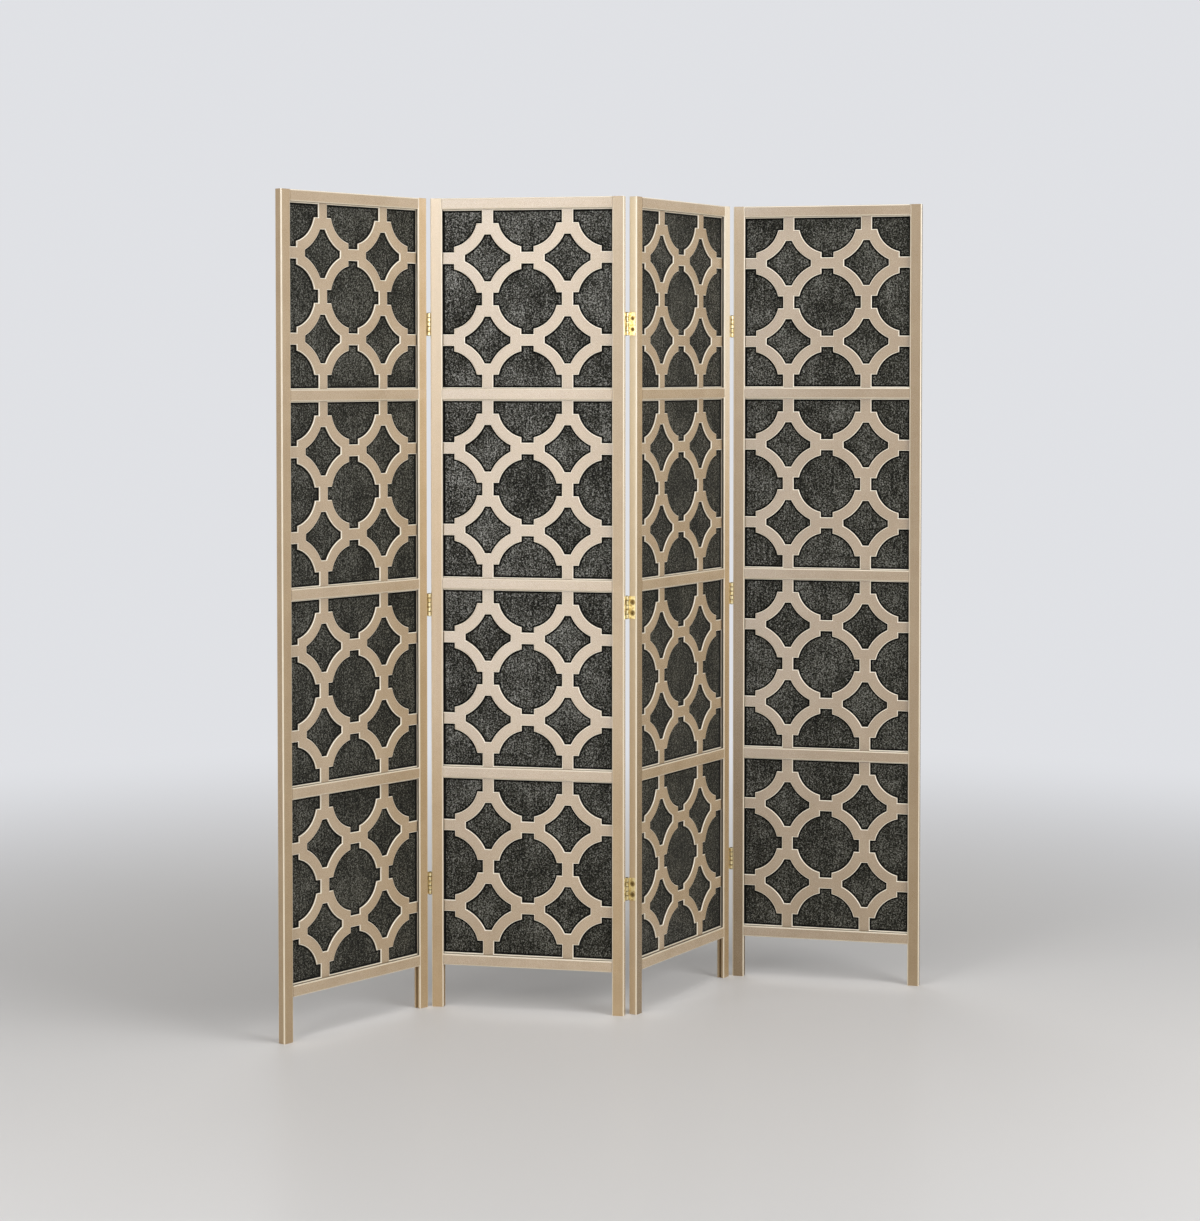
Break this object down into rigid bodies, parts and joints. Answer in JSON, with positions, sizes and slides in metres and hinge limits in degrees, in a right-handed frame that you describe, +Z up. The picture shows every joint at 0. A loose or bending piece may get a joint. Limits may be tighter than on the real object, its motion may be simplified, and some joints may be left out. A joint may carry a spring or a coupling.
{
  "type": "folding screen",
  "caption": "Folding screen of hinged wooden frames with pierced ring-lattice boards over dark cloth, standing in a zig-zag.",
  "frame": {"origin": "on the floor, under the middle of the row's box at the folds it is stored at", "axes": "+Z up; +X along the row, from the first panel to the last; the lattice side faces -Y and the cloth side +Y"},
  "size_m": [1.5146, 0.3012, 1.8],
  "materials": {
    "frame_paint": "champagne-gold satin paint on wood",
    "lattice_paint": "champagne-gold satin paint on fibreboard",
    "cloth": "charcoal non-woven cloth, mottled",
    "brass": "bright brass plate"
  },
  "bodies": {
    "panel_1": {"panel_1_left_stile": "frame_paint", "panel_1_right_stile": "frame_paint", "panel_1_top_rail": "frame_paint", "panel_1_middle_rails": "frame_paint", "panel_1_bottom_rail": "frame_paint", "panel_1_lattice_1": "lattice_paint", "panel_1_lattice_2": "lattice_paint", "panel_1_lattice_3": "lattice_paint", "panel_1_lattice_4": "lattice_paint", "panel_1_cloths": "cloth", "hinge_1_left_leaves": "brass", "hinge_1_pins": "brass", "hinge_1_left_screws": "brass"},
    "panel_2": {"panel_2_left_stile": "frame_paint", "panel_2_right_stile": "frame_paint", "panel_2_top_rail": "frame_paint", "panel_2_middle_rails": "frame_paint", "panel_2_bottom_rail": "frame_paint", "panel_2_lattice_1": "lattice_paint", "panel_2_lattice_2": "lattice_paint", "panel_2_lattice_3": "lattice_paint", "panel_2_lattice_4": "lattice_paint", "panel_2_cloths": "cloth", "hinge_1_right_leaves": "brass", "hinge_1_right_screws": "brass", "hinge_2_left_leaves": "brass", "hinge_2_pins": "brass", "hinge_2_left_screws": "brass"},
    "panel_3": {"panel_3_left_stile": "frame_paint", "panel_3_right_stile": "frame_paint", "panel_3_top_rail": "frame_paint", "panel_3_middle_rails": "frame_paint", "panel_3_bottom_rail": "frame_paint", "panel_3_lattice_1": "lattice_paint", "panel_3_lattice_2": "lattice_paint", "panel_3_lattice_3": "lattice_paint", "panel_3_lattice_4": "lattice_paint", "panel_3_cloths": "cloth", "hinge_2_right_leaves": "brass", "hinge_2_right_screws": "brass", "hinge_3_left_leaves": "brass", "hinge_3_pins": "brass", "hinge_3_left_screws": "brass"},
    "panel_4": {"panel_4_left_stile": "frame_paint", "panel_4_right_stile": "frame_paint", "panel_4_top_rail": "frame_paint", "panel_4_middle_rails": "frame_paint", "panel_4_bottom_rail": "frame_paint", "panel_4_lattice_1": "lattice_paint", "panel_4_lattice_2": "lattice_paint", "panel_4_lattice_3": "lattice_paint", "panel_4_lattice_4": "lattice_paint", "panel_4_cloths": "cloth", "hinge_3_right_leaves": "brass", "hinge_3_right_screws": "brass"}
  },
  "joints": [
    {"name": "fold_1", "type": "hinge", "parent": "panel_2", "child": "panel_1", "pos_m": [-0.36946, 0.0715, 0.9], "axis": [0, 0, 1], "range_deg": [-62, 118]},
    {"name": "fold_2", "type": "hinge", "parent": "panel_2", "child": "panel_3", "pos_m": [0.02331, -0.133, 0.9], "axis": [0, 0, 1], "range_deg": [-71.5, 108.5]},
    {"name": "fold_3", "type": "hinge", "parent": "panel_3", "child": "panel_4", "pos_m": [0.37695, 0.13352, 0.9], "axis": [0, 0, -1], "range_deg": [-73.5, 106.5]}
  ]
}
